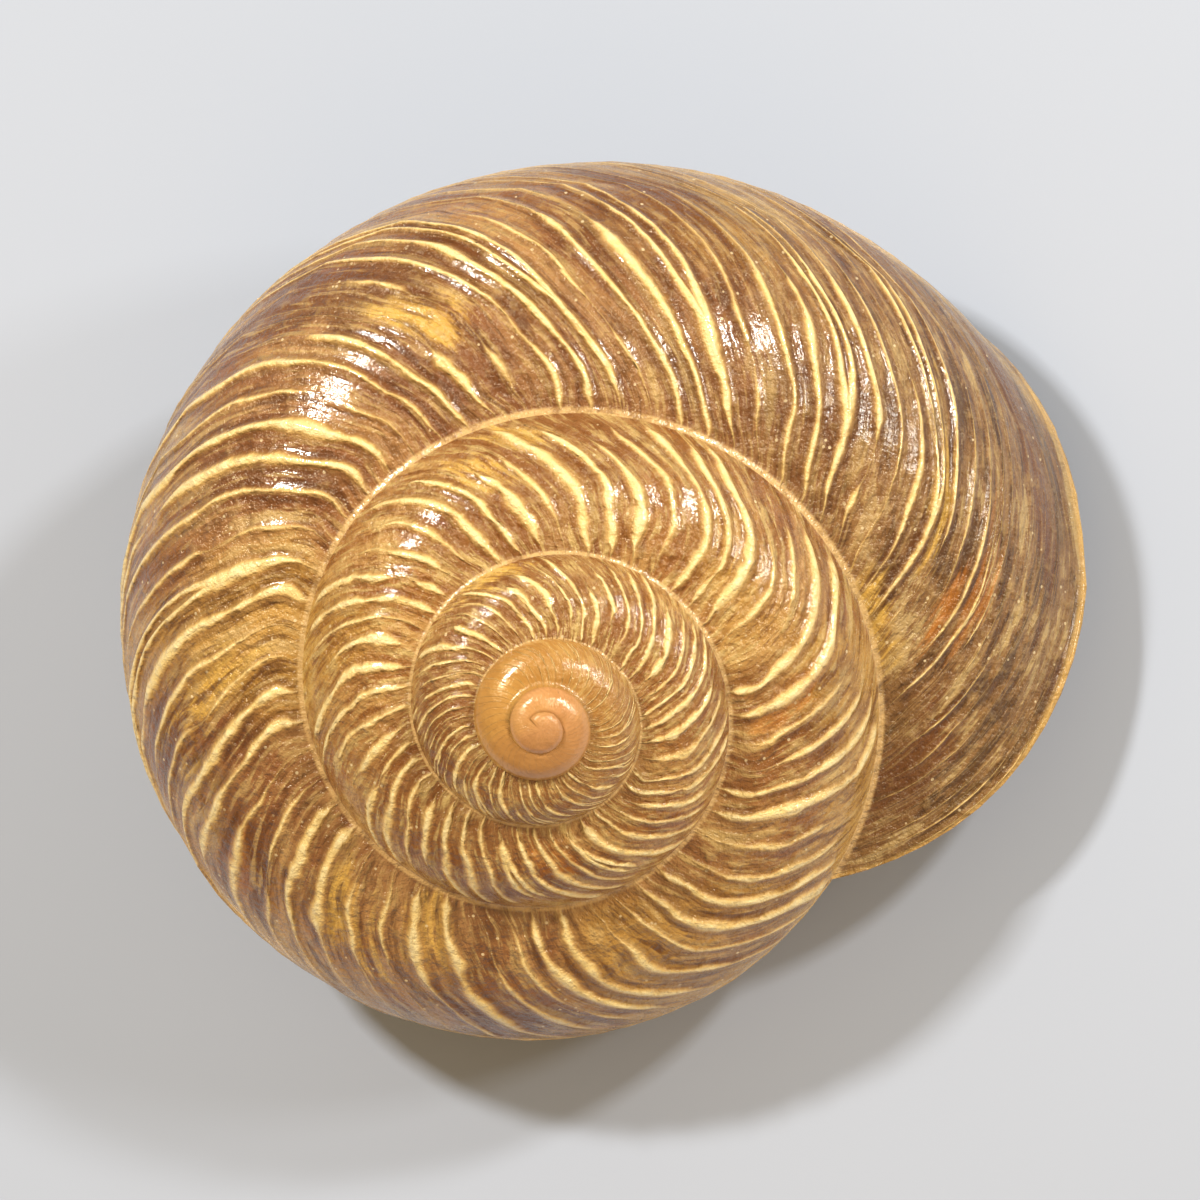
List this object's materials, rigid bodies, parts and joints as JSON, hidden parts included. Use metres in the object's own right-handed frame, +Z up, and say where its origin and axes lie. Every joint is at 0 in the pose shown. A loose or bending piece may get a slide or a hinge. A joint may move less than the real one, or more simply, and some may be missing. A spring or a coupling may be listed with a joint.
{
  "type": "land snail shell",
  "caption": "Empty land snail shell: a low right-handed spiral with curved ribs along its growth lines and an open, downward-slanting mouth.",
  "frame": {"origin": "centre of the bounding box in plan, at the level the shell rests on", "axes": "+Z up as the shell rests on its base and lip; the mouth's outer lip is towards +X and the mouth faces down and towards -Y"},
  "size_m": [0.0184, 0.017, 0.0094],
  "materials": {
    "shell": "glossy brown with raised cream-yellow ribs"
  },
  "bodies": {
    "root": {"shell": "shell"}
  },
  "joints": []
}
